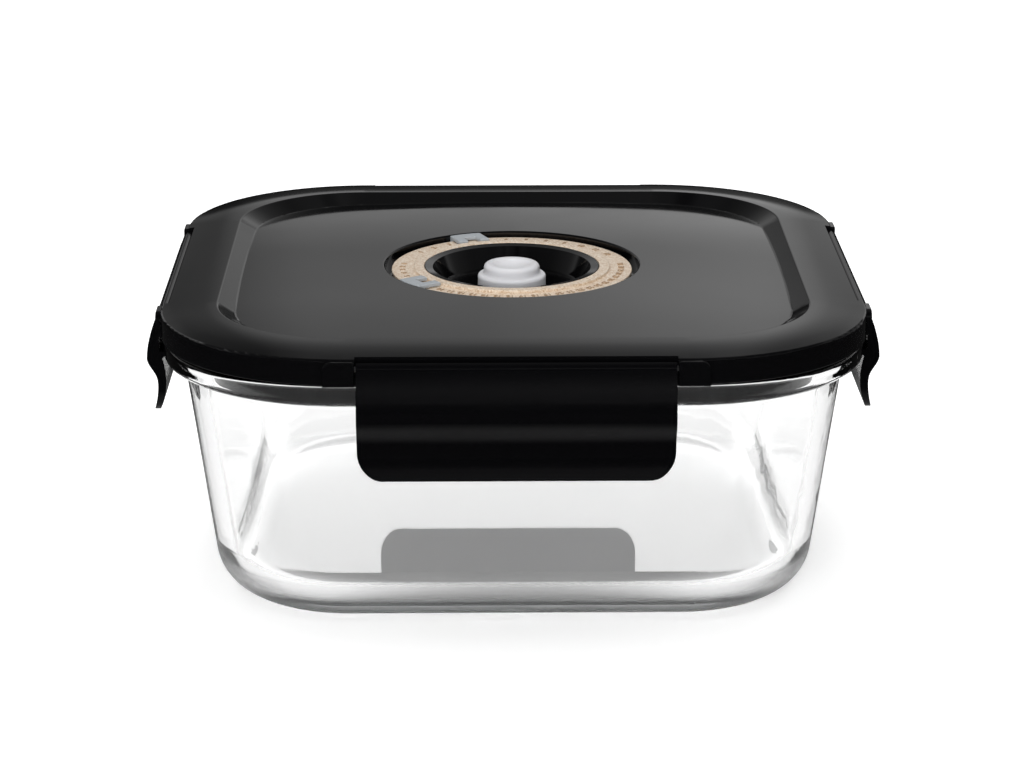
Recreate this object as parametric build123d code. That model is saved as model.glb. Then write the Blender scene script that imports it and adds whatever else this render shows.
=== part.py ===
from build123d import *
import os

# Square food canister with a glass dish, a moulded lid held by four snap latches,
# a date dial and a silicone valve. Millimetres, +Z up, origin under the middle of
# the dish's foot, X to the right and Y away from the front latch.

# Plan
corner_centre = 38.0
cut_overrun = 4.0
level_play = 0.01

# Glass dish
dish_height = 61.0
dish_wall_half = 76.8
dish_foot_half = 69.1
dish_wall = 4.2
dish_floor = 5.0
dish_foot_round = 11.0
dish_inner_round = 9.0
rim_reach = 4.6
rim_thickness = 5.0
rim_top_round = 1.2
rim_low_round = 1.8
rim_neck_round = 2.0
mouth_round = 0.8

# Lid: skirt, bowed border top and the domed panel sunk inside it
lid_seat_gap = 0.3
lid_height = 7.2
skirt_clearance = 0.6
skirt_thickness = 3.4
border_width = 13.2
border_fall = 1.2
border_bow = 0.25
border_edge_round = 0.6
border_crest_round = 0.9
border_inner_slope = 3.4
basin_depth = 2.0
crown_rise = 0.95
panel_round = 0.8
plate_thickness = 2.4
border_wall = 2.3
plug_wall = 1.4
plug_clearance = 1.1
plug_depth = 3.0
skirt_foot_round = 0.4

# Gasket
groove_height = 4.0
gasket_side_gap = 0.1
gasket_body = 2.5
gasket_lip_gap = 0.2
gasket_lip = 1.2
gasket_lip_step = 2.5

# Dial recess and pump seat in the middle of the lid
dial_recess_radius = 31.0
dial_seat_depth = 2.6
dial_cup_wall = 2.2
dial_edge_round = 0.4
collar_radius = 21.15
collar_depth = 0.5
collar_bevel_radius = 19.3
collar_bevel_drop = 0.3
pump_seat_depth = 6.5
pump_seat_radius = 17.1
pump_seat_round = 1.2
pump_seat_floor = 2.2
valve_hole_radius = 3.0
vent_radius = 0.8
vent_circle = 5.4
vent_count = 4

# Date ring
ring_inner_gap = 0.2
ring_outer_radius = 29.3
ring_step_radius = 23.9
ring_inner_depth = 0.4
ring_outer_depth = 1.1
ring_edge_round = 0.25
ring_undercut = 0.9
ring_undercut_height = 0.8

# Pointers
pointer_gap = 0.25
pointer_inner_radius = 24.2
pointer_width = 8.05
pointer_prong = 2.4
pointer_bar = 3.2
pointer_thickness = 1.3
pointer_round = 0.6
pointer_bead = 0.4
pointer_bead_height = 0.4
month_angle = 112.0
day_angle = 216.0

# Valve plug
valve_head_radius = 6.8
valve_flange_radius = 8.3
valve_shoulder_height = 4.0
valve_rim_round = 1.1
valve_neck_round = 0.6
valve_flange_round = 0.8
valve_dimple_radius = 4.6
valve_dimple_depth = 1.5
valve_dimple_round = 0.6
valve_seat_gap = 0.1
valve_stem_gap = 0.08
valve_travel = 1.5
valve_stop_gap = 0.2
valve_barb_radius = 4.3
valve_barb_tip_radius = 2.2
valve_barb_height = 2.2

# Hinge of each latch
hinge_inset = 0.45
hinge_drop = 3.4
barrel_radius = 1.45
barrel_gap = 0.3
notch_inset = 1.7
pin_radius = 0.65
pin_bore_gap = 0.07
pin_grip = 6.0
pad_proud = 1.0
pad_side = 7.15
pad_rise = 1.95
pad_corner_round = 2.0
pad_inner_round = 0.6
pad_edge_round = 0.3

# Latch, measured out from its hinge axis and down from it
latch_width = 70.6
latch_end_gap = 0.3
latch_corner_round = 6.5
bulge_reach = 4.45
bulge_drop = 11.3
latch_top_reach = 1.1
latch_top_rise = 0.6
tab_drop = 25.2
tab_waist_reach = 2.0
tab_waist_drop = 18.4
tab_tip_reach = 3.25
tab_inner_reach = 0.1
hook_gap = 0.4
hook_reach = 0.2
hook_height = 1.4
hook_shelf = 1.3
latch_wall_reach = 1.35
latch_wall_top_reach = 0.95
tab_tip_round = 0.7
# Outward and downward places on the latch's outer face, as shares of the bulge's reach and drop
latch_face_shares = [(0.5, 0.15), (0.75, 0.43), (0.94, 0.75), (1.0, 1.0)]
# The same for the hollow below the bulge, down to the waist of the tab
latch_hollow_shares = [(0.9, 1.12), (0.53, 1.37)]

# Levels and places that follow from the sizes above
rim_half = dish_wall_half + rim_reach
skirt_half = rim_half + skirt_clearance
rim_level = dish_height - rim_thickness
skirt_level = dish_height + lid_seat_gap
crest_level = skirt_level + lid_height
border_edge_level = crest_level - border_fall
foot_level = crest_level - basin_depth
panel_level = foot_level + crown_rise
plate_level = foot_level - plate_thickness
groove_level = skirt_level + groove_height
border_crest_half = skirt_half - border_width
panel_half = border_crest_half - border_inner_slope
dish_taper = (dish_wall_half - dish_foot_half) / rim_level
mouth_half = dish_wall_half - dish_wall + dish_taper * rim_thickness
plug_half = mouth_half - plug_clearance
plug_level = dish_height - plug_depth
groove_half = skirt_half - skirt_thickness
seat_level = panel_level - dial_seat_depth
pump_level = panel_level - pump_seat_depth
pump_under_level = pump_level - pump_seat_floor
hinge_half = skirt_half - hinge_inset
hinge_level = crest_level - hinge_drop
pocket_radius = barrel_radius + barrel_gap
notch_half_width = latch_width / 2 + latch_end_gap
pad_half_width = notch_half_width + pad_side
side_angles = {"right": 0, "back": 90, "left": 180, "front": 270}


def rounded_square(half, level):
    return Plane.XY.offset(level) * RectangleRounded(2 * half, 2 * half, half - corner_centre)


def frustum(half_low, half_high, low, high):
    return loft([rounded_square(half_low, low), rounded_square(half_high, high)], ruled=True)


def slab(half, low, high):
    return extrude(rounded_square(half, low), high - low)


def band(outer_half, inner_half, low, high):
    return slab(outer_half, low, high) - slab(inner_half, low, high)


def edges_at(solid, level):
    """Edges that lie whole at one height."""
    return solid.edges().filter_by_position(Axis.Z, level - level_play, level + level_play)


def edges_within(solid, level, half):
    """Edges at one height that stay inside a half width along X."""
    return [e for e in edges_at(solid, level) if e.bounding_box().max.X < half]


def disc(radius, low, high):
    return Pos(0, 0, low) * extrude(Circle(radius), high - low)


def turned(points):
    """A solid of revolution about Z from corners given as radius and level."""
    return revolve(Plane.XZ * make_face(Polyline(*points, close=True)), Axis.Z)


def glass_dish():
    outer = frustum(dish_foot_half, dish_wall_half, 0, rim_level)
    outer = fillet(edges_at(outer, 0), dish_foot_round)
    rim = slab(rim_half, rim_level, dish_height)
    rim = fillet(edges_at(rim, rim_level), rim_low_round)
    rim = fillet(edges_at(rim, dish_height), rim_top_round)
    body = outer + rim
    body = fillet(edges_within(body, rim_level, dish_wall_half + mouth_round), rim_neck_round)
    cavity_low = dish_foot_half + dish_taper * dish_floor - dish_wall
    rise = dish_height - dish_floor
    cavity = frustum(cavity_low, cavity_low + dish_taper * rise, dish_floor, dish_height)
    cavity = fillet(edges_at(cavity, dish_floor), dish_inner_round)
    body = body - cavity
    return fillet(edges_within(body, dish_height, mouth_half + mouth_round), mouth_round)


def rounded_at(face, place, radius):
    """The face with the corner at a place rounded off."""
    return fillet(face.vertices().sort_by_distance((*place, 0))[0], radius)


def lid_section():
    """The right side's section through border, skirt, seal groove and plug wall."""
    foot = (skirt_half, skirt_level)
    edge = (skirt_half, border_edge_level)
    crest = (border_crest_half, crest_level)
    middle = (skirt_half - border_width / 2, crest_level - border_fall / 2 + border_bow)
    slope_run = border_inner_slope / basin_depth * plate_thickness
    hollow_level = foot_level + basin_depth / 2 - border_wall
    inside = Polyline(
        crest,
        (panel_half - slope_run, plate_level),
        (panel_half + border_wall, plate_level),
        (panel_half + border_wall, hollow_level),
        (plug_half - plug_wall, hollow_level),
        (plug_half - plug_wall, plug_level),
        (plug_half, plug_level),
        (plug_half, groove_level),
        (groove_half, groove_level),
        (groove_half, skirt_level),
        foot,
        edge,
    )
    face = make_face(Curve() + [inside, ThreePointArc(edge, middle, crest)])
    face = rounded_at(face, foot, skirt_foot_round)
    face = rounded_at(face, edge, border_edge_round)
    return rounded_at(face, crest, border_crest_round)


def carried_round(face):
    """A frame with the same section all along the square and its round corners."""
    section = Plane.XZ * face
    side = extrude(section, corner_centre, both=True)
    turned_section = revolve(Pos(-corner_centre, 0, 0) * section, Axis.Z, 90)
    side = side + Pos(corner_centre, corner_centre, 0) * turned_section
    frame = side
    for angle in (90, 180, 270):
        frame = frame + Rot(0, 0, angle) * side
    return frame


def domed_plate():
    """The plate inside the border, its top part of a large ball that touches two circles."""
    dial_edge = dial_recess_radius ** 2 + panel_level ** 2
    panel_foot = panel_half ** 2 + foot_level ** 2
    centre = (dial_edge - panel_foot) / (2 * crown_rise)
    radius = (panel_half ** 2 + (foot_level - centre) ** 2) ** 0.5
    ball = Pos(0, 0, centre) * Rot(0, 90, 0) * Sphere(radius)
    return slab(panel_half + border_wall / 2, plate_level, crest_level) & ball


def lid_blank():
    """The lid before its dial, pads and hinge pockets."""
    body = carried_round(lid_section()) + domed_plate()
    dome = body.faces().filter_by(GeomType.SPHERE)[0]
    return fillet(dome.edges(), panel_round)


def dial_cup():
    """The round cup under the plate that holds the ring, the pump seat and the valve."""
    outer = dial_recess_radius + dial_cup_wall
    under = seat_level - dial_cup_wall
    return turned([
        (0, panel_level - collar_depth),
        (0, pump_under_level),
        (collar_radius, pump_under_level),
        (collar_radius + dial_cup_wall, under),
        (outer, under),
        (outer, plate_level + plate_thickness / 2),
        (0, plate_level + plate_thickness / 2),
    ])


def dial_cut():
    """What is open above the cup: the ring's recess, the collar's bevel and the pump seat."""
    top = panel_level + cut_overrun
    collar_level = panel_level - collar_depth
    recess = disc(dial_recess_radius, seat_level, top) - disc(collar_radius, seat_level, collar_level)
    seat = turned([
        (0, pump_level),
        (pump_seat_radius, pump_level),
        (collar_bevel_radius, collar_level - collar_bevel_drop),
        (collar_radius, collar_level),
        (collar_radius, top),
        (0, top),
    ])
    seat = fillet(edges_at(seat, pump_level), pump_seat_round)
    return recess + seat


def hinge_pad():
    """The raised pad at the far end of the right side's latch that holds its pin."""
    low = skirt_level
    high = hinge_level + pad_rise
    middle = Pos(notch_half_width + pad_side / 2, (low + high) / 2)
    face = middle * Rectangle(pad_side, high - low)
    face = rounded_at(face, (notch_half_width + pad_side, high), pad_corner_round)
    face = rounded_at(face, (notch_half_width, high), pad_inner_round)
    pad = Pos(groove_half, 0, 0) * extrude(Plane.YZ * face, skirt_thickness + pad_proud)
    return fillet(pad.faces().sort_by(Axis.X)[-1].edges(), pad_edge_round)


def hinge_cut():
    """Room for the latch on the right side: barrel pocket, open notch above it and pin hole."""
    pocket = along_y(pocket_radius, -notch_half_width, notch_half_width)
    notch_low = Pos(skirt_half - notch_inset, -notch_half_width, hinge_level)
    notch = Box(
        notch_inset + cut_overrun,
        2 * notch_half_width,
        hinge_drop + cut_overrun,
        align=(Align.MIN, Align.MIN, Align.MIN),
    )
    hole = along_y(pin_radius, -notch_half_width - pin_grip, pad_half_width + cut_overrun)
    return pocket + notch_low * notch + hole


def along_y(radius, start, end):
    """A bar of circular section along the right side's hinge axis."""
    section = Plane.XZ * Pos(hinge_half, hinge_level) * Circle(radius)
    return Pos(0, end, 0) * extrude(section, end - start)


def lid():
    body = lid_blank() + dial_cup() - dial_cut()
    edge = edges_within(body, panel_level, dial_recess_radius + dial_edge_round)
    body = fillet(edge, dial_edge_round)
    body = body - disc(valve_hole_radius, pump_under_level, panel_level)
    for number in range(vent_count):
        turn = Rot(0, 0, number * 360 / vent_count)
        body = body - turn * Pos(vent_circle, 0, 0) * disc(vent_radius, pump_under_level, panel_level)
    for angle in side_angles.values():
        pad = hinge_pad()
        body = body + Rot(0, 0, angle) * pad + Rot(0, 0, angle) * mirror(pad, Plane.XZ)
    for angle in side_angles.values():
        body = body - Rot(0, 0, angle) * hinge_cut()
    return body


def lid_gasket():
    outer = groove_half - gasket_side_gap
    inner = plug_half + gasket_side_gap
    body = band(outer, inner, groove_level - gasket_body, groove_level)
    for lip in range(2):
        lip_half = outer - gasket_side_gap - lip * gasket_lip_step
        lip_level = dish_height + gasket_lip_gap
        body = body + band(lip_half, lip_half - gasket_lip, lip_level, groove_level - gasket_body)
    return body


def dial_ring():
    inner = collar_radius + ring_inner_gap
    band_level = panel_level - ring_outer_depth
    top_level = panel_level - ring_inner_depth
    under_level = seat_level + ring_undercut_height
    ring = turned([
        (inner, seat_level),
        (ring_outer_radius - ring_undercut, seat_level),
        (ring_outer_radius - ring_undercut, under_level),
        (ring_outer_radius, under_level),
        (ring_outer_radius, band_level),
        (ring_step_radius, band_level),
        (ring_step_radius, top_level),
        (inner, top_level),
    ])
    ring = fillet(edges_at(ring, top_level), ring_edge_round)
    rounded = [e for e in edges_at(ring, band_level) if e.radius > ring_step_radius + ring_undercut]
    return fillet(rounded, ring_edge_round)


def pointer(angle):
    """A U-shaped frame that slides round the ring, with its foot and bead in the groove."""
    low = panel_level - ring_outer_depth + pointer_gap
    high = low + pointer_thickness
    outer = dial_recess_radius - pointer_gap
    foot_inner = ring_outer_radius + pointer_gap
    foot_level = seat_level + pointer_gap
    strip = Pos(pointer_inner_radius, 0, 0) * Box(
        outer,
        pointer_width,
        panel_level,
        align=(Align.MIN, Align.CENTER, Align.MIN),
    )
    plate = (disc(outer, low, high) - disc(pointer_inner_radius, low, high)) & strip
    window = Box(
        outer - pointer_bar,
        pointer_width - 2 * pointer_prong,
        panel_level + cut_overrun,
        align=(Align.MIN, Align.CENTER, Align.MIN),
    )
    plate = plate - window
    plate = fillet(plate.faces().sort_by(Axis.Z)[-1].edges(), pointer_round / 2)
    foot = (disc(outer, foot_level, low) - disc(foot_inner, foot_level, low)) & strip
    bead_level = foot_level + pointer_bead_height
    bead = disc(foot_inner, foot_level, bead_level) - disc(foot_inner - pointer_bead, foot_level, bead_level)
    return Rot(0, 0, angle) * (plate + foot + (bead & strip))


def valve_plug():
    seat = pump_level + valve_seat_gap
    shoulder = pump_level + valve_shoulder_height
    stop = pump_under_level - valve_travel - valve_stop_gap
    tip = stop - valve_barb_height
    stem = valve_hole_radius - valve_stem_gap
    plug = turned([
        (0, panel_level),
        (0, tip),
        (valve_barb_tip_radius, tip),
        (valve_barb_radius, stop),
        (stem, stop),
        (stem, seat),
        (valve_flange_radius, seat),
        (valve_flange_radius, shoulder),
        (valve_head_radius, shoulder),
        (valve_head_radius, panel_level),
    ])
    plug = fillet(edges_at(plug, panel_level), valve_rim_round)
    neck = edges_within(plug, shoulder, valve_head_radius + level_play)
    plug = fillet(neck, valve_neck_round)
    plug = fillet(edges_at(plug, shoulder).sort_by(SortBy.LENGTH)[-1], valve_flange_round)
    dimple_sphere = (valve_dimple_radius ** 2 + valve_dimple_depth ** 2) / (2 * valve_dimple_depth)
    plug = plug - Pos(0, 0, panel_level - valve_dimple_depth + dimple_sphere) * Sphere(dimple_sphere)
    dimple_edge = edges_within(plug, panel_level, valve_dimple_radius + level_play)
    return fillet(dimple_edge, valve_dimple_round)


def latch_section():
    """The latch's section on the right side, as a face round the hinge axis."""
    hook_top = rim_level - hook_gap - hinge_level
    hook_low = hook_top - hook_height
    tip_level = tab_tip_round - tab_drop
    face = Spline(
        (latch_top_reach, latch_top_rise),
        *[(out * bulge_reach, -down * bulge_drop) for out, down in latch_face_shares],
    )
    hollow = Spline(
        face @ 1,
        *[(out * bulge_reach, -down * bulge_drop) for out, down in latch_hollow_shares],
        (tab_waist_reach, -tab_waist_drop),
        (tab_tip_reach, tip_level),
    )
    back = Spline(
        (tab_tip_reach - 2 * tab_tip_round, tip_level),
        (tab_inner_reach, -tab_waist_drop),
        (tab_inner_reach + tab_tip_round, hook_low - barrel_gap),
    )
    tip = ThreePointArc(hollow @ 1, (tab_tip_reach - tab_tip_round, -tab_drop), back @ 0)
    hook = Polyline(
        back @ 1,
        (hook_reach, hook_low + barrel_gap),
        (hook_reach, hook_top),
        (hook_reach + hook_shelf, hook_top),
        (latch_wall_reach, skirt_level - hinge_level),
        (latch_wall_top_reach, -barrel_radius),
        (0, -pin_radius),
        face @ 0,
    )
    return make_face(Curve() + [face, hollow, tip, back, hook]) + Circle(barrel_radius)


def latch():
    """The right side's latch, hanging as closed with its hook just outside the rim."""
    section = Plane.XZ * Pos(hinge_half, hinge_level) * latch_section()
    body = extrude(section, latch_width / 2, both=True)
    height = barrel_radius + tab_drop
    front = Pos(0, hinge_level + barrel_radius - height / 2) * Rectangle(latch_width, height)
    front = fillet(front.vertices().group_by(Axis.Y)[0], latch_corner_round)
    window = Pos(groove_half, 0, 0) * extrude(Plane.YZ * front, 2 * bulge_reach)
    body = body & window
    return body - along_y(pin_radius + pin_bore_gap, -latch_width, latch_width)


def hinge_pin():
    return along_y(pin_radius, -notch_half_width - pin_grip, notch_half_width + pin_grip)


def pieces():
    """Every sub-part by its node's name."""
    found = {
        "glass_dish": glass_dish(),
        "lid": lid(),
        "lid_gasket": lid_gasket(),
        "dial_ring": dial_ring(),
        "month_pointer": pointer(month_angle),
        "day_pointer": pointer(day_angle),
        "valve_plug": valve_plug(),
    }
    for side, angle in side_angles.items():
        found[side + "_latch"] = Rot(0, 0, angle) * latch()
        found[side + "_hinge_pin"] = Rot(0, 0, angle) * hinge_pin()
    return found


os.makedirs("parts", exist_ok=True)
for node, solid in pieces().items():
    export_step(solid, f"parts/{node}.step")
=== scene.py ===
"""Looks of a square vacuum seal canister: finishes, dial marks, studio and camera."""

import logging
import math
from dataclasses import dataclass
from enum import Enum

import bmesh
import bpy
from mathutils import Matrix, Vector


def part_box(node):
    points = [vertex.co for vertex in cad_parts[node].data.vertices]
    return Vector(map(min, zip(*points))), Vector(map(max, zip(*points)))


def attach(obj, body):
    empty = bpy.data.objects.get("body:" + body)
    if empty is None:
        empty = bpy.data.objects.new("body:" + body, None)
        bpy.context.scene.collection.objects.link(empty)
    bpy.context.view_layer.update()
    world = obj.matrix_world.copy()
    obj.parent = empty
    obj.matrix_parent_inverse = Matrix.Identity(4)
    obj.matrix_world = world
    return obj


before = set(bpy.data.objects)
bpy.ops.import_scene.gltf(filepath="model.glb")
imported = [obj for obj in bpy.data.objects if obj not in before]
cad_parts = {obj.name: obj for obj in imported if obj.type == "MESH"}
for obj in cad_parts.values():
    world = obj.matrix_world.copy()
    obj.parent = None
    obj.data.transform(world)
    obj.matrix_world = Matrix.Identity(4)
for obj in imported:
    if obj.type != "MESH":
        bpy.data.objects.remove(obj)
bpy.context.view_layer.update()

MM = 0.001
MERGE_MM = 0.01
QUARTERS = 4
# Most values of a noise pattern lie in this span
NOISE_LOW, NOISE_HIGH = 0.3, 0.7
log = logging.getLogger("canister")

Colour = tuple[float, float, float, float]


def srgb(code: str) -> Colour:
    """Turn an sRGB hex colour into a linear colour.

    Args:
        code: Six hex digits, as in "1a1b1c".

    Returns:
        Linear red, green and blue, with an alpha of 1.
    """
    shares = [int(code[i:i + 2], 16) / 255 for i in (0, 2, 4)]
    linear = [c / 12.92 if c <= 0.04045 else ((c + 0.055) / 1.055) ** 2.4 for c in shares]
    return (*linear, 1.0)


def per_metre(size_mm: float) -> float:
    """Give the scale of a pattern whose features are size_mm apart.

    Args:
        size_mm: Real spacing of the pattern in millimetres.

    Returns:
        Features in one metre, as pattern nodes want it on Object coordinates.
    """
    return 1 / (size_mm * MM)


def quarter_turn(count: int) -> Matrix:
    """Give the turn by so many quarters about the upright axis."""
    return Matrix.Rotation(count * math.tau / QUARTERS, 3, "Z")


def add_node(
    tree: bpy.types.NodeTree,
    kind: str,
    settings: dict[str | int, object] | None = None,
    links: dict[str | int, bpy.types.NodeSocket] | None = None,
) -> bpy.types.Node:
    """Add a node, set its sockets and properties, and link its inputs.

    Args:
        tree: Node tree that gets the node.
        kind: Blender's type name of the node.
        settings: Values by input socket, or by property where no socket has that name.
        links: Sockets that feed this node, by the input that each one feeds.

    Returns:
        The new node.
    """
    node = tree.nodes.new(kind)
    for key, value in (settings or {}).items():
        if isinstance(key, str) and hasattr(node, key):
            setattr(node, key, value)
        else:
            node.inputs[key].default_value = value
    for key, socket in (links or {}).items():
        tree.links.new(socket, node.inputs[key])
    return node


def new_material(name: str) -> tuple[bpy.types.Material, bpy.types.NodeTree]:
    """Make an empty node material.

    Args:
        name: Name of the real material and its process.

    Returns:
        The material and its emptied node tree.
    """
    material = bpy.data.materials.new(name)
    material.use_nodes = True
    material.node_tree.nodes.clear()
    return material, material.node_tree


def grain_normal(
    tree: bpy.types.NodeTree,
    place: bpy.types.NodeSocket,
    size_mm: float,
    height_mm: float,
    detail: float,
    strength: float = 1.0,
) -> bpy.types.NodeSocket:
    """Lay a grain of a real size on a surface.

    Args:
        tree: Node tree that gets the grain.
        place: Socket with the Object coordinates.
        size_mm: Spacing of the grain.
        height_mm: Height of the grain.
        detail: Finer layers within the grain.
        strength: Share of the height that shows.

    Returns:
        The socket with the grain's normal.
    """
    grain = add_node(
        tree, "ShaderNodeTexNoise", {"Scale": per_metre(size_mm), "Detail": detail},
        {"Vector": place},
    )
    bump = add_node(
        tree, "ShaderNodeBump", {"Strength": strength, "Distance": height_mm * MM},
        {"Height": grain.outputs["Fac"]},
    )
    return bump.outputs["Normal"]


def dress(node_name: str, material: bpy.types.Material) -> None:
    """Give a carried-over CAD node its finish.

    Args:
        node_name: Name of the CAD node.
        material: Finish that takes the place of the node's own.
    """
    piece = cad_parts[node_name]
    piece.data.materials.clear()
    piece.data.materials.append(material)
    log.info("dressed %s in %s", node_name, material.name)


def piece_from(
    mesh: bmesh.types.BMesh, name: str, material: bpy.types.Material,
) -> bpy.types.Object:
    """Turn a finished bmesh into a piece at the origin.

    Args:
        mesh: Geometry in its final place; it is freed here.
        name: Name of the piece.
        material: Its finish.

    Returns:
        The new object, linked to the scene.
    """
    data = bpy.data.meshes.new(name)
    mesh.to_mesh(data)
    mesh.free()
    data.materials.append(material)
    piece = bpy.data.objects.new(name, data)
    bpy.context.scene.collection.objects.link(piece)
    return piece


@dataclass(frozen=True)
class MouldedPlastic:
    """Opaque thermoplastic as it leaves the mould.

    The grain is the mould's surface: a wide and very low wave on polished steel, grit on blasted
    steel. Real grit, near 0.1 mm, is too fine to show, so it is drawn at about 0.5 mm. The haze
    varies the gloss as handling does. Below the satin level, where the mould's inner half is left
    blasted, the surface is rough.
    """

    name: str
    colour: str
    roughness: float
    specular: float
    grain_mm: float
    grain_height_mm: float
    haze_mm: float
    haze: float
    satin_below_mm: float = 0.0
    satin_roughness: float = 0.0
    grain_detail: float = 3.0
    haze_detail: float = 4.0
    ior: float = 1.5

    def material(self) -> bpy.types.Material:
        """Build the material.

        Returns:
            A Principled plastic with grain in its bump and haze in its roughness.
        """
        material, tree = new_material(self.name)
        place = add_node(tree, "ShaderNodeTexCoord").outputs["Object"]
        grain = grain_normal(tree, place, self.grain_mm, self.grain_height_mm, self.grain_detail)
        smear = add_node(
            tree, "ShaderNodeTexNoise",
            {"Scale": per_metre(self.haze_mm), "Detail": self.haze_detail},
            {"Vector": place},
        )
        gloss = add_node(
            tree, "ShaderNodeMapRange",
            {
                "From Min": NOISE_LOW, "From Max": NOISE_HIGH,
                "To Min": self.roughness - self.haze, "To Max": self.roughness + self.haze,
            },
            {"Value": smear.outputs["Fac"]},
        )
        height = add_node(tree, "ShaderNodeSeparateXYZ", links={"Vector": place})
        satin = add_node(
            tree, "ShaderNodeMath", {"operation": "LESS_THAN", 1: self.satin_below_mm * MM},
            {0: height.outputs["Z"]},
        )
        rough = add_node(
            tree, "ShaderNodeMath", {"operation": "MULTIPLY_ADD", 1: self.satin_roughness},
            {0: satin.outputs[0], 2: gloss.outputs["Result"]},
        )
        shader = add_node(
            tree, "ShaderNodeBsdfPrincipled",
            {"Base Color": srgb(self.colour), "IOR": self.ior, "Specular IOR Level": self.specular},
            {"Roughness": rough.outputs[0], "Normal": grain},
        )
        add_node(tree, "ShaderNodeOutputMaterial", links={"Surface": shader.outputs["BSDF"]})
        return material


@dataclass(frozen=True)
class PressedGlass:
    """Clear pressed soda-lime or borosilicate glass, fire polished.

    A faint grey absorption darkens the long paths through the rim and the corners, and the foot
    is stippled satin where it stood on the press.
    """

    name: str
    tint: str
    ior: float
    density: float
    wave_mm: float
    wave_height_mm: float
    foot_mm: float
    foot_roughness: float
    wave_detail: float = 1.0

    def material(self) -> bpy.types.Material:
        """Build the material.

        Returns:
            A glass with a faint wave in its bump, a rough foot and a neutral absorption inside.
        """
        material, tree = new_material(self.name)
        place = add_node(tree, "ShaderNodeTexCoord").outputs["Object"]
        wave = grain_normal(tree, place, self.wave_mm, self.wave_height_mm, self.wave_detail)
        height = add_node(tree, "ShaderNodeSeparateXYZ", links={"Vector": place})
        stipple = add_node(
            tree, "ShaderNodeMapRange",
            {
                "interpolation_type": "SMOOTHSTEP", "From Min": 0.0, "From Max": self.foot_mm * MM,
                "To Min": self.foot_roughness, "To Max": 0.0,
            },
            {"Value": height.outputs["Z"]},
        )
        shader = add_node(
            tree, "ShaderNodeBsdfPrincipled",
            {"Base Color": (1.0, 1.0, 1.0, 1.0), "IOR": self.ior, "Transmission Weight": 1.0},
            {"Roughness": stipple.outputs["Result"], "Normal": wave},
        )
        inside = add_node(
            tree, "ShaderNodeVolumeAbsorption", {"Color": srgb(self.tint), "Density": self.density},
        )
        add_node(
            tree, "ShaderNodeOutputMaterial",
            links={"Surface": shader.outputs["BSDF"], "Volume": inside.outputs["Volume"]},
        )
        return material


@dataclass(frozen=True)
class LiquidSilicone:
    """Liquid silicone rubber from a fine blasted mould: soft, pale, a little light inside.

    The blasted grain, near 0.1 mm, is too fine to show, so it is drawn at about 0.4 mm.
    """

    name: str
    colour: str
    roughness: float
    depth_mm: float
    grain_mm: float
    grain_height_mm: float
    grain_detail: float = 2.0
    ior: float = 1.41
    scattered_share: float = 0.5
    scatter_by_colour: tuple[float, float, float] = (1.0, 0.95, 0.9)

    def material(self) -> bpy.types.Material:
        """Build the material.

        Returns:
            A rubber with light scattered inside and a fine blasted grain.
        """
        material, tree = new_material(self.name)
        place = add_node(tree, "ShaderNodeTexCoord").outputs["Object"]
        grain = grain_normal(tree, place, self.grain_mm, self.grain_height_mm, self.grain_detail)
        shader = add_node(
            tree, "ShaderNodeBsdfPrincipled",
            {
                "Base Color": srgb(self.colour),
                "Roughness": self.roughness,
                "IOR": self.ior,
                "Subsurface Weight": self.scattered_share,
                "Subsurface Radius": self.scatter_by_colour,
                "Subsurface Scale": self.depth_mm * MM,
            },
            {"Normal": grain},
        )
        add_node(tree, "ShaderNodeOutputMaterial", links={"Surface": shader.outputs["BSDF"]})
        return material


@dataclass(frozen=True)
class FlakeLacquer:
    """Metallic lacquer on moulded plastic: fine flakes that glint one by one.

    Real flakes, near 0.05 mm, are too fine to show, so they are drawn as coarse as they need to be.
    """

    name: str
    colour: str
    shade: str
    flake_mm: float
    flake_height_mm: float
    roughness: float
    metallic: float = 0.25

    def material(self) -> bpy.types.Material:
        """Build the material.

        Returns:
            A lacquer whose flakes differ in tone and lean.
        """
        material, tree = new_material(self.name)
        place = add_node(tree, "ShaderNodeTexCoord").outputs["Object"]
        flakes = add_node(
            tree, "ShaderNodeTexVoronoi", {"Scale": per_metre(self.flake_mm)}, {"Vector": place},
        )
        tone = add_node(
            tree, "ShaderNodeMix",
            {"data_type": "RGBA", 6: srgb(self.shade), 7: srgb(self.colour)},
            {0: flakes.outputs["Color"]},
        )
        bump = add_node(
            tree, "ShaderNodeBump",
            {"Strength": 1.0, "Distance": self.flake_height_mm * MM},
            {"Height": flakes.outputs["Color"]},
        )
        shader = add_node(
            tree, "ShaderNodeBsdfPrincipled",
            {"Metallic": self.metallic, "Roughness": self.roughness},
            {"Base Color": tone.outputs[2], "Normal": bump.outputs["Normal"]},
        )
        add_node(tree, "ShaderNodeOutputMaterial", links={"Surface": shader.outputs["BSDF"]})
        return material


@dataclass(frozen=True)
class DrawnSteel:
    """Stainless wire drawn through a die: bright, with the die's fine scratches.

    Real scratches, near 0.02 mm apart, are too fine to show, so they are drawn ten times as coarse.
    """

    name: str
    colour: str
    scratch_mm: float
    roughness: float
    scratch_height_mm: float = 0.01
    scratch_strength: float = 0.3
    scratch_detail: float = 2.0

    def material(self) -> bpy.types.Material:
        """Build the material.

        Returns:
            A metal with fine scratches in its bump.
        """
        material, tree = new_material(self.name)
        place = add_node(tree, "ShaderNodeTexCoord").outputs["Object"]
        scratches = grain_normal(
            tree, place, self.scratch_mm, self.scratch_height_mm, self.scratch_detail,
            self.scratch_strength,
        )
        shader = add_node(
            tree, "ShaderNodeBsdfPrincipled",
            {"Base Color": srgb(self.colour), "Metallic": 1.0, "Roughness": self.roughness},
            {"Normal": scratches},
        )
        add_node(tree, "ShaderNodeOutputMaterial", links={"Surface": shader.outputs["BSDF"]})
        return material


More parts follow.
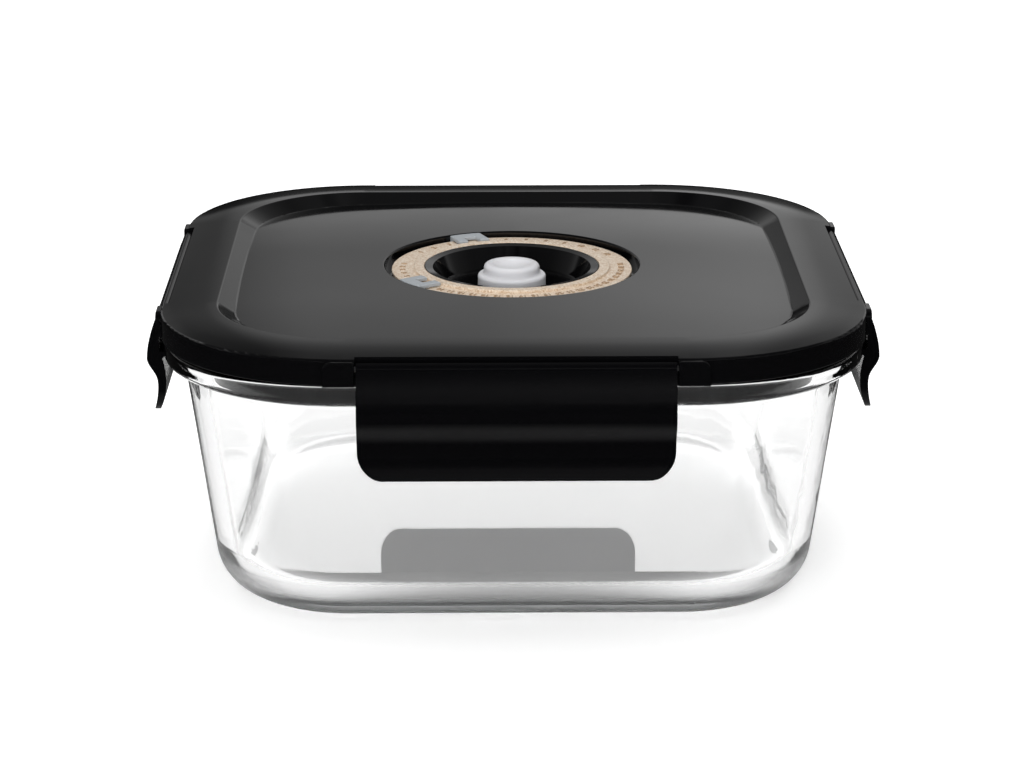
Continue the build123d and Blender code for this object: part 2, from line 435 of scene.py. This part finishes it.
class Side(Enum):
    """The four sides of the lid that carry a latch."""

    FRONT = "front"
    BACK = "back"
    LEFT = "left"
    RIGHT = "right"


@dataclass
class Dish:
    """The glass dish."""

    node: str = "glass_dish"

    def build(self) -> None:
        """Dress the dish in clear pressed glass."""
        glass = PressedGlass(
            name="clear_pressed_glass",
            tint="d8dcdc",
            ior=1.5,
            density=6.0,
            wave_mm=45.0,
            wave_height_mm=0.002,
            foot_mm=6.0,
            foot_roughness=0.4,
        )
        dress(self.node, glass.material())


@dataclass
class LidCover:
    """The lid moulding, its seal and the pins that hold the latches."""

    node: str = "lid"
    gasket: str = "lid_gasket"
    corner_centre_mm: float = 38.0
    lip_half_mm: float = 71.95
    lip_wall_mm: float = 1.3
    lip_top_mm: float = 58.6
    lip_low_mm: float = 55.3
    corner_steps: int = 24
    hole_plug_reach_mm: float = 43.98
    hole_plug_wall_mm: float = 1.3
    hole_plug_low_mm: float = 64.3
    hole_plug_top_mm: float = 65.9
    hole_plug_start_deg: float = 5.5
    hole_plug_sweep_deg: float = 6.5
    hole_plug_steps: int = 6

    def hole_plugs(self, material: bpy.types.Material) -> None:
        """Close the open end of each pin hole with a plug flush with the skirt's round corner.

        Args:
            material: The lid's own finish.
        """
        mesh = bmesh.new()
        centre = Vector((self.corner_centre_mm, self.corner_centre_mm, 0)) * MM
        inner = self.hole_plug_reach_mm - self.hole_plug_wall_mm
        corners = [
            mesh.verts.new(centre + Vector((reach, 0, level)) * MM)
            for reach, level in (
                (inner, self.hole_plug_low_mm),
                (self.hole_plug_reach_mm, self.hole_plug_low_mm),
                (self.hole_plug_reach_mm, self.hole_plug_top_mm),
                (inner, self.hole_plug_top_mm),
            )
        ]
        edges = [mesh.edges.new((a, b)) for a, b in zip(corners, corners[1:] + corners[:1])]
        start = Matrix.Rotation(math.radians(self.hole_plug_start_deg), 3, "Z")
        bmesh.ops.rotate(mesh, cent=centre, matrix=start, verts=mesh.verts)
        bmesh.ops.spin(
            mesh, geom=edges, cent=centre, axis=(0, 0, 1),
            angle=math.radians(self.hole_plug_sweep_deg), steps=self.hole_plug_steps,
        )
        bmesh.ops.holes_fill(mesh, edges=mesh.edges, sides=len(corners))
        one = mesh.verts[:] + mesh.edges[:] + mesh.faces[:]
        for quarter in range(1, QUARTERS):
            copy = bmesh.ops.duplicate(mesh, geom=one)["geom"]
            moved = [part for part in copy if isinstance(part, bmesh.types.BMVert)]
            bmesh.ops.rotate(mesh, cent=(0, 0, 0), matrix=quarter_turn(quarter), verts=moved)
        bmesh.ops.recalc_face_normals(mesh, faces=mesh.faces)
        plugs = piece_from(mesh, "pin_hole_plugs", material)
        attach(plugs, self.node)
        log.info("built %s", plugs.name)

    def drawn_on(
        self, mesh: bmesh.types.BMesh, loop: list[bmesh.types.BMEdge], step: Vector,
    ) -> list[bmesh.types.BMEdge]:
        """Draw a wall's section on in a straight line.

        Args:
            mesh: Mesh that holds the section.
            loop: Edges of the section.
            step: Way that the section goes.

        Returns:
            Edges of the section at the far end.
        """
        made = bmesh.ops.extrude_edge_only(mesh, edges=loop)["geom"]
        moved = [part for part in made if isinstance(part, bmesh.types.BMVert)]
        bmesh.ops.translate(mesh, verts=moved, vec=step)
        edges = [part for part in made if isinstance(part, bmesh.types.BMEdge)]
        return [edge for edge in edges if all(vert in moved for vert in edge.verts)]

    def plug_lip(self, material: bpy.types.Material) -> None:
        """Add the plug wall's lower lip, which stands behind the glass rim inside the mouth.

        Args:
            material: The lid's own finish.
        """
        mesh = bmesh.new()
        section = [
            mesh.verts.new(Vector((half, 0, level)) * MM)
            for half, level in (
                (self.lip_half_mm, self.lip_top_mm),
                (self.lip_half_mm, self.lip_low_mm),
                (self.lip_half_mm - self.lip_wall_mm, self.lip_low_mm),
                (self.lip_half_mm - self.lip_wall_mm, self.lip_top_mm),
            )
        ]
        loop = [mesh.edges.new((a, b)) for a, b in zip(section, section[1:] + section[:1])]
        reach = self.corner_centre_mm * MM
        for quarter in range(QUARTERS):
            turn = quarter_turn(quarter)
            loop = self.drawn_on(mesh, loop, turn @ Vector((0, reach, 0)))
            made = bmesh.ops.spin(
                mesh, geom=loop, cent=turn @ Vector((reach, reach, 0)), axis=(0, 0, 1),
                angle=math.tau / QUARTERS, steps=self.corner_steps,
            )["geom_last"]
            loop = [part for part in made if isinstance(part, bmesh.types.BMEdge)]
            loop = self.drawn_on(mesh, loop, turn @ Vector((-reach, 0, 0)))
        bmesh.ops.remove_doubles(mesh, verts=mesh.verts, dist=MERGE_MM * MM)
        bmesh.ops.recalc_face_normals(mesh, faces=mesh.faces)
        lip = piece_from(mesh, "lid_plug_lip", material)
        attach(lip, self.node)
        log.info("built %s", lip.name)

    def build(self) -> None:
        """Dress the lid, the seal and the pins, and add the plug's lip."""
        # High-gloss ABS from a polished mould: deep black with a clear, faintly wavy mirror.
        abs_plastic = MouldedPlastic(
            name="polished_black_abs",
            colour="050506",
            roughness=0.09,
            specular=0.5,
            grain_mm=3.0,
            grain_height_mm=0.001,
            haze_mm=22.0,
            haze=0.02,
            satin_below_mm=60.8,
            satin_roughness=0.5,
        )
        abs_material = abs_plastic.material()
        dress(self.node, abs_material)
        # Translucent silicone seal: milky grey where it shows through the rim.
        seal = LiquidSilicone(
            name="translucent_moulded_silicone",
            colour="b9bec0",
            roughness=0.45,
            depth_mm=2.0,
            grain_mm=0.4,
            grain_height_mm=0.01,
        )
        dress(self.gasket, seal.material())
        # Drawn stainless wire: only its ends show, bright against the black.
        wire = DrawnSteel(
            name="drawn_stainless_wire", colour="b8b8b8", scratch_mm=0.2, roughness=0.3,
        ).material()
        for side in Side:
            dress(f"{side.value}_hinge_pin", wire)
        # The same ABS from the mould's blasted inner half: a dull, even black.
        inner_plastic = MouldedPlastic(
            name="blasted_black_abs",
            colour="0b0b0c",
            roughness=0.55,
            specular=0.12,
            grain_mm=0.5,
            grain_height_mm=0.004,
            haze_mm=8.0,
            haze=0.04,
        )
        self.plug_lip(inner_plastic.material())
        self.hole_plugs(abs_material)


@dataclass
class Latches:
    """The four snap latches."""

    def build(self) -> None:
        """Dress the latches."""
        # Polypropylene from a finely eroded mould: black, with a soft, low sheen. The erosion is
        # too fine to show, so the gloss stands for it and the grain is the moulding's low wave.
        satin = MouldedPlastic(
            name="eroded_black_polypropylene",
            colour="050506",
            roughness=0.14,
            specular=0.24,
            grain_mm=2.0,
            grain_height_mm=0.001,
            haze_mm=14.0,
            haze=0.04,
        ).material()
        for side in Side:
            dress(f"{side.value}_latch", satin)


@dataclass
class Valve:
    """The silicone valve in the pump seat."""

    node: str = "valve_plug"

    def build(self) -> None:
        """Dress the valve in soft white silicone."""
        soft = LiquidSilicone(
            name="white_liquid_silicone",
            colour="d2d2d5",
            roughness=0.42,
            depth_mm=0.8,
            grain_mm=0.35,
            grain_height_mm=0.008,
        )
        dress(self.node, soft.material())


@dataclass
class DateDial:
    """The date ring with its raised numbers, and the two pointers."""

    ring: str = "dial_ring"
    scale_radius_mm: float = 26.6
    number_height_mm: float = 2.1
    emboss_mm: float = 0.16
    band_drop_mm: float = 0.7
    month_start_deg: float = 147.0
    month_end_deg: float = 27.0
    months: int = 12
    day_start_deg: float = 172.0
    day_end_deg: float = 365.0
    days: int = 31
    curve_steps: int = 3

    def band_level(self) -> float:
        """Give the height of the ring's scale band in metres."""
        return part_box(self.ring)[1].z - self.band_drop_mm * MM

    def number(self, text: str, angle_deg: float) -> bmesh.types.BMesh:
        """Make one raised number, standing with its foot towards the middle.

        Args:
            text: The digits.
            angle_deg: Its place round the dial, from +X towards +Y.

        Returns:
            Its geometry in place.
        """
        curve = bpy.data.curves.new("number", "FONT")
        curve.body = text
        curve.size = self.number_height_mm * MM
        curve.align_x = "CENTER"
        curve.align_y = "CENTER"
        curve.extrude = self.emboss_mm * MM
        curve.resolution_u = self.curve_steps
        holder = bpy.data.objects.new("number", curve)
        data = bpy.data.meshes.new_from_object(holder)
        mesh = bmesh.new()
        mesh.from_mesh(data)
        bpy.data.objects.remove(holder)
        bpy.data.curves.remove(curve)
        bpy.data.meshes.remove(data)
        turn = math.radians(angle_deg)
        place = Vector((math.cos(turn), math.sin(turn), 0)) * self.scale_radius_mm * MM
        place.z = self.band_level()
        matrix = Matrix.Translation(place) @ Matrix.Rotation(turn - math.pi / 2, 4, "Z")
        bmesh.ops.transform(mesh, matrix=matrix, verts=mesh.verts)
        return mesh

    def scale(self) -> bmesh.types.BMesh:
        """Set the month and day numbers round the ring.

        Returns:
            All numbers in one mesh.
        """
        whole = bmesh.new()
        runs = (
            (self.months, self.month_start_deg, self.month_end_deg),
            (self.days, self.day_start_deg, self.day_end_deg),
        )
        for count, start, end in runs:
            for index in range(count):
                angle = start + (end - start) * index / (count - 1)
                mesh = self.number(str(index + 1), angle)
                data = bpy.data.meshes.new("number")
                mesh.to_mesh(data)
                mesh.free()
                whole.from_mesh(data)
                bpy.data.meshes.remove(data)
        return whole

    def build(self) -> None:
        """Dress the ring and pointers, and add the numbers."""
        # Champagne metallic lacquer: a pale warm metal with fine glints.
        lacquer = FlakeLacquer(
            name="champagne_flake_lacquer",
            colour="fff3e3",
            shade="d2b391",
            flake_mm=0.4,
            flake_height_mm=0.1,
            roughness=0.3,
        ).material()
        dress(self.ring, lacquer)
        # The numbers stand proud in a darker bronze lacquer: painted shade that stands in for the
        # shade round their raised edges.
        bronze = FlakeLacquer(
            name="bronze_lacquer_with_painted_shade",
            colour="c4a788",
            shade="a3876a",
            flake_mm=0.26,
            flake_height_mm=0.03,
            roughness=0.3,
        ).material()
        numbers = piece_from(self.scale(), "dial_numbers", bronze)
        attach(numbers, "lid")
        log.info("built %s", numbers.name)
        # Acetal pointers: smooth, pale blue grey, satin.
        acetal = MouldedPlastic(
            name="moulded_grey_acetal",
            colour="a2a7ab",
            roughness=0.38,
            specular=0.5,
            grain_mm=0.6,
            grain_height_mm=0.004,
            haze_mm=6.0,
            haze=0.03,
        ).material()
        dress("month_pointer", acetal)
        dress("day_pointer", acetal)


@dataclass(frozen=True)
class SoftBox:
    """A rectangular lamp: its place, the width and height of its face, and its power."""

    name: str
    place_mm: tuple[float, float, float]
    size_mm: tuple[float, float]
    watts: float


@dataclass(frozen=True)
class Change:
    """A level that goes from one value to another while a measure crosses a span."""

    start: float
    end: float
    before: float
    after: float
    way: str = "SMOOTHSTEP"

    def settings(self) -> dict[str | int, object]:
        """Give the change as the settings of a Map Range node.

        Returns:
            Values by input socket, and the shape of the change.
        """
        return {
            "interpolation_type": self.way,
            "From Min": self.start,
            "From Max": self.end,
            "To Min": self.before,
            "To Max": self.after,
        }


@dataclass
class Studio:
    """The pale floor, the soft light and the camera at the photograph's angle."""

    soft_boxes: tuple[SoftBox, ...] = (
        SoftBox("overhead_soft_box", (0.0, 60.0, 1100.0), (1800.0, 1800.0), 15.0),
        SoftBox("front_soft_box", (-170.0, -1050.0, 330.0), (700.0, 400.0), 10.0),
    )
    lamp_aim_mm: float = 50.0
    board_colour: str = "f4f4f4"
    floor_half_m: float = 4.0
    floor_gap_mm: float = 0.2
    focal_px: float = 3164.0
    frame_px: float = 1024.0
    sensor_mm: float = 36.0
    camera_x_mm: float = -9.5
    camera_y_mm: float = -746.6
    camera_z_mm: float = 266.64
    pitch_rad: float = 0.299
    yaw_rad: float = 0.0128
    clip_start_m: float = 0.05
    # The board's painted glow to the camera, by Y in metres: lighter towards the back, where it
    # hides the front lamp's shadow
    painted_glow_front_to_back: Change = Change(-0.06, 0.06, 0.38, 0.62)
    # Added to it far out, where the lamps fade, so that it stays white: by metres from the middle
    glow_far_out: Change = Change(0.3, 0.9, 0.0, 1.0)
    # Its glow through glass: a painted shade under the dish, and bright beyond it
    painted_glow_through_glass: Change = Change(0.058, 0.084, 0.28, 0.97)
    # What the rim mirrors inside itself of the board in front is painted dim, so that it stays dark
    rim_share_painted_dark: float = 0.25
    in_front: Change = Change(-0.12, -0.09, 1.0, 0.0, "LINEAR")
    # Shares of the board's light that pieces mirror and that glass shows, painted darker than the
    # board: its mirror images grow darker still away from the middle
    mirror_share_painted_dark: Change = Change(0.085, 0.16, 0.6, 0.02)
    glass_share_painted_dark: float = 0.2
    sky_gain: float = 1.7
    glass_sky_gain: float = 4.4
    share_of_direction: Change = Change(-1.0, 1.0, 0.0, 1.0, "LINEAR")
    # Brightness by the height of the direction's unit vector, then by its share from front to
    # back and from left to right
    sky_by_height: tuple[tuple[float, float], ...] = (
        (0.0, 0.03), (0.14, 0.06), (0.17, 0.6), (0.19, 0.48), (0.23, 0.33), (0.3, 0.46),
        (0.36, 0.38), (0.44, 0.24), (0.58, 0.13), (0.78, 0.06), (0.96, 0.12),
    )
    glass_sky_by_height: tuple[tuple[float, float], ...] = (
        (0.0, 0.4), (0.15, 0.9), (0.3, 1.0), (0.45, 0.7), (0.62, 0.2), (0.8, 0.04),
    )
    sky_by_depth: tuple[tuple[float, float], ...] = (
        (0.0, 0.2), (0.02, 0.45), (0.05, 0.42), (0.1, 0.22), (0.3, 0.25), (0.46, 0.42), (0.6, 0.75),
        (0.7, 0.9),
    )
    glass_sky_by_depth: tuple[tuple[float, float], ...] = ((0.0, 0.75), (0.5, 0.8), (0.7, 0.9))
    sky_by_breadth: tuple[tuple[float, float], ...] = (
        (0.0, 0.4), (0.36, 0.75), (0.395, 0.6), (0.403, 0.4), (0.416, 0.2), (0.445, 0.22),
        (0.466, 0.6), (0.5, 0.62), (0.555, 1.0), (0.575, 0.62), (0.6, 0.52), (0.613, 0.95),
        (0.8, 0.95), (1.0, 0.42),
    )

    def board(self) -> bpy.types.Material:
        """Make the white board that keeps the canister's shadow, with painted light and shade.

        What pieces mirror of it and what the glass shows of it are set apart from what the
        camera sees of it: mirror images are painted dark, as black cards beside a real canister
        would make them, the glass shows a painted shade under the dish, and the camera sees a
        painted glow that grows towards the back.

        Returns:
            A matt board with a painted glow of its own.
        """
        material, tree = new_material("white_studio_board")
        path = add_node(tree, "ShaderNodeLightPath")
        place = add_node(tree, "ShaderNodeNewGeometry").outputs["Position"]
        split = add_node(tree, "ShaderNodeSeparateXYZ", links={"Vector": place})
        away = add_node(tree, "ShaderNodeVectorMath", {"operation": "LENGTH"}, {"Vector": place})
        # Painted light and shade on the board: dark mirror images away from the middle, a glow that
        # grows towards the back, and a painted shade under the dish where the glass shows it
        reach, glow, far, clear, ahead = (
            add_node(
                tree, "ShaderNodeMapRange", change.settings(), {"Value": value},
            ).outputs["Result"]
            for change, value in (
                (self.mirror_share_painted_dark, away.outputs["Value"]),
                (self.painted_glow_front_to_back, split.outputs["Y"]),
                (self.glow_far_out, away.outputs["Value"]),
                (self.painted_glow_through_glass, away.outputs["Value"]),
                (self.in_front, split.outputs["Y"]),
            )
        )
        # Mirror images and the view through glass get the board's lit colour painted darker
        mirrored = add_node(
            tree, "ShaderNodeMath", {"operation": "MULTIPLY"},
            {0: path.outputs["Is Glossy Ray"], 1: path.outputs["Is Reflection Ray"]},
        )
        dim = add_node(tree, "ShaderNodeMix", {2: 1.0}, {0: mirrored.outputs[0], 3: reach})
        dim = add_node(
            tree, "ShaderNodeMix", {3: self.glass_share_painted_dark},
            {0: path.outputs["Is Transmission Ray"], 2: dim.outputs[0]},
        )
        whole = add_node(tree, "ShaderNodeMath", {"operation": "ADD"}, {0: glow, 1: far})
        lift = add_node(
            tree, "ShaderNodeMath", {"operation": "MULTIPLY"},
            {0: path.outputs["Is Camera Ray"], 1: whole.outputs[0]},
        )
        # Painted shade in the rim: what it mirrors inside itself of the board in front is dimmed
        inner = add_node(
            tree, "ShaderNodeMath", {"operation": "GREATER_THAN", 1: 0.5},
            {0: path.outputs["Glossy Depth"]},
        )
        inner = add_node(
            tree, "ShaderNodeMath", {"operation": "MULTIPLY"}, {0: inner.outputs[0], 1: ahead},
        )
        inner = add_node(
            tree, "ShaderNodeMix", {2: 1.0, 3: self.rim_share_painted_dark}, {0: inner.outputs[0]},
        )
        # What the glass shows of the board: painted shade under the dish, a painted glow beyond it
        seen = add_node(
            tree, "ShaderNodeMath", {"operation": "MULTIPLY"}, {0: clear, 1: inner.outputs[0]},
        )
        lift = add_node(
            tree, "ShaderNodeMath", {"operation": "MULTIPLY_ADD"},
            {0: path.outputs["Is Transmission Ray"], 1: seen.outputs[0], 2: lift.outputs[0]},
        )
        shade = add_node(
            tree, "ShaderNodeMix",
            {"data_type": "RGBA", 6: srgb("000000"), 7: srgb(self.board_colour)},
            {0: dim.outputs[0]},
        )
        matt = add_node(tree, "ShaderNodeBsdfDiffuse", links={"Color": shade.outputs[2]})
        shine = add_node(
            tree, "ShaderNodeEmission", {"Color": srgb("ffffff")}, {"Strength": lift.outputs[0]},
        )
        both = add_node(
            tree, "ShaderNodeAddShader", links={0: matt.outputs[0], 1: shine.outputs[0]},
        )
        add_node(tree, "ShaderNodeOutputMaterial", links={"Surface": both.outputs[0]})
        return material

    def floor(self) -> None:
        """Lay the board."""
        mesh = bmesh.new()
        bmesh.ops.create_grid(mesh, x_segments=1, y_segments=1, size=self.floor_half_m)
        # A hair below the foot, so that glass and board don't share one plane
        bmesh.ops.translate(mesh, verts=mesh.verts, vec=(0, 0, -self.floor_gap_mm * MM))
        piece_from(mesh, "studio_floor", self.board())

    def set_stops(self, ramp: bpy.types.ColorRamp, stops: tuple[tuple[float, float], ...]) -> None:
        """Set a row of stops on a ramp.

        Args:
            ramp: The ramp, as it is when new.
            stops: Places and their brightness, each from 0 to 1.
        """
        while len(ramp.elements) < len(stops):
            ramp.elements.new(0.5)
        for element, (where, level) in zip(ramp.elements, stops):
            element.position = where
            element.color = (level, level, level, 1.0)

    def world(self) -> None:
        """Set a sky that is bright low down behind, and dimmer overhead and on the camera's side.

        The glass shows a brighter sky than the black pieces mirror.
        """
        world = bpy.data.worlds.new("studio_sky")
        world.use_nodes = True
        tree = world.node_tree
        tree.nodes.clear()
        place = add_node(tree, "ShaderNodeTexCoord").outputs["Generated"]
        split = add_node(tree, "ShaderNodeSeparateXYZ", links={"Vector": place})
        up = split.outputs["Z"]
        across, along = (
            add_node(
                tree, "ShaderNodeMapRange", self.share_of_direction.settings(),
                {"Value": split.outputs[axis]},
            ).outputs["Result"]
            for axis in ("X", "Y")
        )
        levels = []
        for value, stops in (
            (up, self.sky_by_height),
            (along, self.sky_by_depth),
            (across, self.sky_by_breadth),
            (up, self.glass_sky_by_height),
            (along, self.glass_sky_by_depth),
        ):
            ramp = add_node(tree, "ShaderNodeValToRGB", links={"Fac": value})
            self.set_stops(ramp.color_ramp, stops)
            levels.append(ramp.outputs["Color"])
        height, depth, breadth, clear_height, clear_depth = levels
        sky = add_node(tree, "ShaderNodeMath", {"operation": "MULTIPLY"}, {0: height, 1: depth})
        sky = add_node(
            tree, "ShaderNodeMath", {"operation": "MULTIPLY"}, {0: sky.outputs[0], 1: breadth},
        )
        sky = add_node(
            tree, "ShaderNodeMath", {"operation": "MULTIPLY", 1: self.sky_gain},
            {0: sky.outputs[0]},
        )
        clear = add_node(
            tree, "ShaderNodeMath", {"operation": "MULTIPLY"}, {0: clear_height, 1: clear_depth},
        )
        clear = add_node(
            tree, "ShaderNodeMath", {"operation": "MULTIPLY", 1: self.glass_sky_gain},
            {0: clear.outputs[0]},
        )
        path = add_node(tree, "ShaderNodeLightPath")
        level = add_node(
            tree, "ShaderNodeMix",
            links={0: path.outputs["Is Transmission Ray"], 2: sky.outputs[0], 3: clear.outputs[0]},
        )
        # The camera itself sees plain white above the board's far edge
        level = add_node(
            tree, "ShaderNodeMix", {3: 1.0},
            {0: path.outputs["Is Camera Ray"], 2: level.outputs[0]},
        )
        shine = add_node(
            tree, "ShaderNodeBackground", {"Color": srgb("ffffff")}, {"Strength": level.outputs[0]},
        )
        add_node(tree, "ShaderNodeOutputWorld", links={"Surface": shine.outputs[0]})
        bpy.context.scene.world = world

    def hang(self, box: SoftBox) -> None:
        """Hang a soft box that points at the lid.

        Args:
            box: The lamp.
        """
        light = bpy.data.lights.new(box.name, "AREA")
        light.shape = "RECTANGLE"
        light.size, light.size_y = (side * MM for side in box.size_mm)
        light.energy = box.watts
        holder = bpy.data.objects.new(box.name, light)
        holder.location = Vector(box.place_mm) * MM
        aim = Vector((0, 0, self.lamp_aim_mm)) * MM - holder.location
        holder.rotation_euler = aim.to_track_quat("-Z", "Y").to_euler()
        # The lamp lights the pieces but stays out of their mirror images
        holder.visible_glossy = False
        bpy.context.scene.collection.objects.link(holder)

    def camera(self) -> None:
        """Place the camera at the photograph's viewing angle."""
        data = bpy.data.cameras.new("camera")
        data.sensor_width = self.sensor_mm
        data.lens = self.focal_px / self.frame_px * self.sensor_mm
        data.clip_start = self.clip_start_m
        holder = bpy.data.objects.new("camera", data)
        holder.location = Vector((self.camera_x_mm, self.camera_y_mm, self.camera_z_mm)) * MM
        holder.rotation_euler = (math.pi / 2 - self.pitch_rad, 0, -self.yaw_rad)
        bpy.context.scene.collection.objects.link(holder)
        bpy.context.scene.camera = holder

    def build(self) -> None:
        """Set the whole studio."""
        self.floor()
        self.world()
        for box in self.soft_boxes:
            self.hang(box)
        self.camera()
        bpy.context.scene.view_settings.view_transform = "Standard"
        log.info("built the studio")


def main() -> None:
    """Build the sub-assemblies in order."""
    logging.basicConfig(level=logging.INFO, format="%(name)s: %(message)s")
    for assembly in (Dish(), LidCover(), Latches(), DateDial(), Valve(), Studio()):
        assembly.build()


if __name__ == "__main__":
    main()
